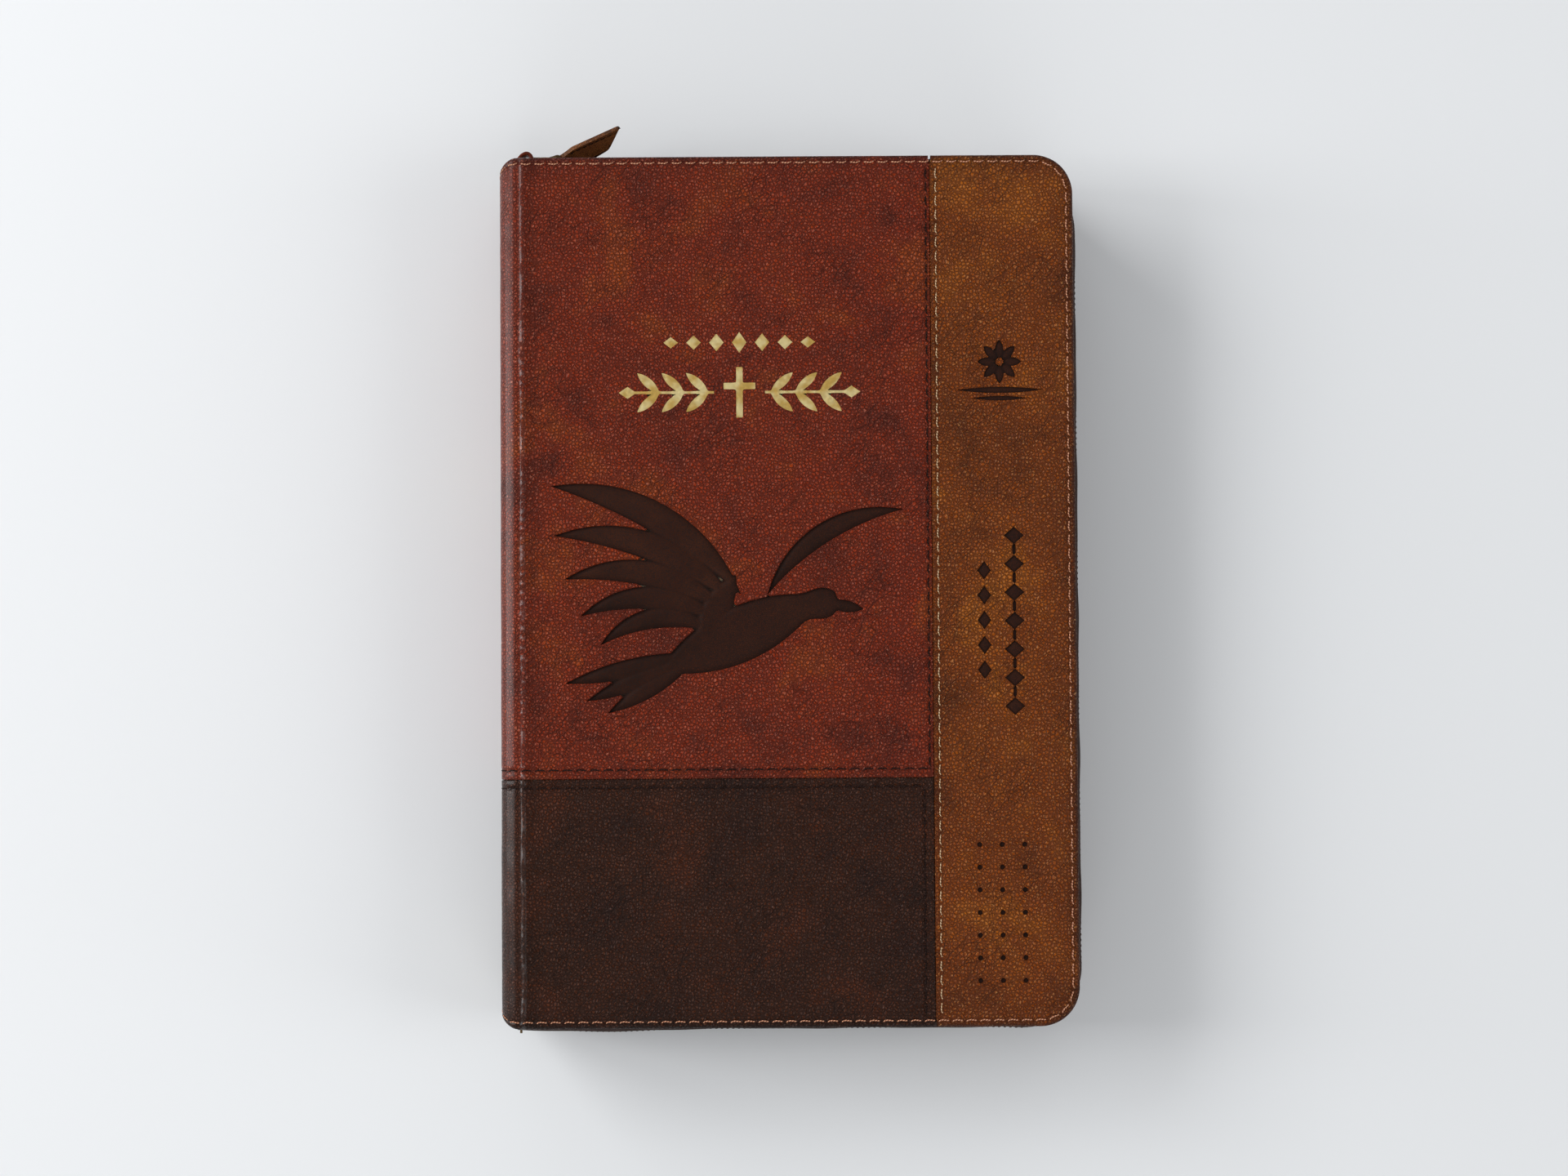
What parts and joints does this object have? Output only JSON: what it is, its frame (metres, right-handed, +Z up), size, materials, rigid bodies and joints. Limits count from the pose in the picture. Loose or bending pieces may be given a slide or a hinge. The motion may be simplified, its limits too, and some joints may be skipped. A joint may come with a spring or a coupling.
{
  "type": "bible",
  "caption": "Hand-size zipped bible in panelled brown leather, with stitched edges, pressed bird, gold ornament, hinged cover, turning pages, sliding zip and leather pull.",
  "frame": {"origin": "Middle of the back cover's outer face, which lies on the table", "axes": "+X from the spine to the fore edge, +Y from the tail to the head, +Z up from the back cover to the front cover, with the book closed"},
  "size_m": [0.148, 0.2326, 0.0382],
  "materials": {
    "leather_sienna": "semi-gloss mottled pebble grain",
    "leather_dark": "semi-gloss mottled pebble grain",
    "leather_tan": "semi-gloss, darker burnished edges",
    "leather_pressed": "smooth pressed and darkened",
    "cover_board": "matt grey-brown board",
    "lining": "fine matt lining",
    "thread_copper": "waxed thread",
    "thread_dark": "waxed thread",
    "thread_cream": "waxed thread",
    "gold_foil": "stamped gold foil",
    "page_edges": "gilt-toned page edges",
    "paper": "thin uncoated paper",
    "glue": "glued gauze",
    "band": "woven head and tail bands",
    "zip_tape": "woven tape",
    "zip_teeth": "moulded coil",
    "slider_metal": "antique finish",
    "pull_leather": "smooth, dark cut edges"
  },
  "bodies": {
    "back_cover": {"back_main_panel": "leather_sienna", "back_lower_panel": "leather_dark", "back_fore_strip": "leather_tan", "back_board": "cover_board", "back_lining": "lining", "back_joint_upper": "leather_sienna", "back_joint_lower": "leather_dark", "back_edge_thread": "thread_copper", "back_seam_thread": "thread_dark", "back_strip_thread": "thread_cream", "back_zip_tape": "zip_tape", "back_zip_teeth": "zip_teeth", "rear_page_block": "page_edges", "rear_flyleaf": "paper", "spine_glue": "glue", "headband": "band", "tailband": "band", "zip_stop_head": "slider_metal", "zip_stop_tail": "slider_metal"},
    "spine": {"spine_upper_panel": "leather_sienna", "spine_lower_panel": "leather_dark", "spine_stiffener": "cover_board", "spine_lining": "lining", "spine_foil": "gold_foil", "spine_thread": "thread_copper"},
    "front_cover": {"front_main_panel": "leather_sienna", "front_lower_panel": "leather_dark", "front_fore_strip": "leather_tan", "front_board": "cover_board", "front_lining": "lining", "front_joint_upper": "leather_sienna", "front_joint_lower": "leather_dark", "front_edge_thread": "thread_copper", "front_seam_thread": "thread_dark", "front_lower_thread": "thread_dark", "front_strip_thread": "thread_cream", "cover_foil": "gold_foil", "bird_inlay": "leather_pressed", "emblem_inlay": "leather_pressed", "strip_inlay": "leather_pressed", "front_zip_tape": "zip_tape", "front_zip_teeth": "zip_teeth"},
    "front_pages": {"front_page_block": "page_edges", "front_flyleaf": "paper"},
    "leaf": {"loose_leaf": "paper"},
    "slider": {"slider_body": "slider_metal", "slider_bail": "slider_metal"},
    "link": {"pull_link": "slider_metal"},
    "tab": {"pull_tab": "pull_leather"}
  },
  "joints": [
    {"name": "spine_fold", "type": "hinge", "parent": "back_cover", "child": "spine", "pos_m": [-0.07154, 0, 0.00146], "axis": [0, -1, 0], "range_deg": [0, 90], "deforming": ["back_joint_upper", "back_joint_lower"]},
    {"name": "front_cover_open", "type": "hinge", "parent": "spine", "child": "front_cover", "pos_m": [-0.07154, 0, 0.03654], "axis": [0, -1, 0], "range_deg": [0, 90], "deforming": ["front_joint_upper", "front_joint_lower"]},
    {"name": "pages_turn", "type": "hinge", "parent": "back_cover", "child": "front_pages", "pos_m": [-0.0685, 0, 0.019], "axis": [0, -1, 0], "range_deg": [0, 180], "deforming": ["spine_glue", "headband", "tailband"]},
    {"name": "leaf_turn", "type": "hinge", "parent": "back_cover", "child": "leaf", "pos_m": [-0.0685, 0, 0.019], "axis": [0, -1, 0], "range_deg": [0, 153]},
    {"name": "slider_travel", "type": "slide", "parent": "back_cover", "child": "slider", "axis": [1, 0, 0], "range_m": [0, 0.11]},
    {"name": "pull_link_swing", "type": "hinge", "parent": "slider", "child": "link", "pos_m": [-0.063, 0.1115, 0.019], "axis": [0, 0, 1], "range_deg": [-5, 90]},
    {"name": "pull_tab_swing", "type": "hinge", "parent": "link", "child": "tab", "pos_m": [-0.0589, 0.11279, 0.019], "axis": [0, 0, 1], "range_deg": [-8, 28]}
  ],
  "couplings": [
    {"joint": "front_cover_open", "follows": "spine_fold", "ratio": 1},
    {"joint": "pages_turn", "follows": "spine_fold", "ratio": 2},
    {"joint": "leaf_turn", "follows": "spine_fold", "ratio": 1.7}
  ]
}
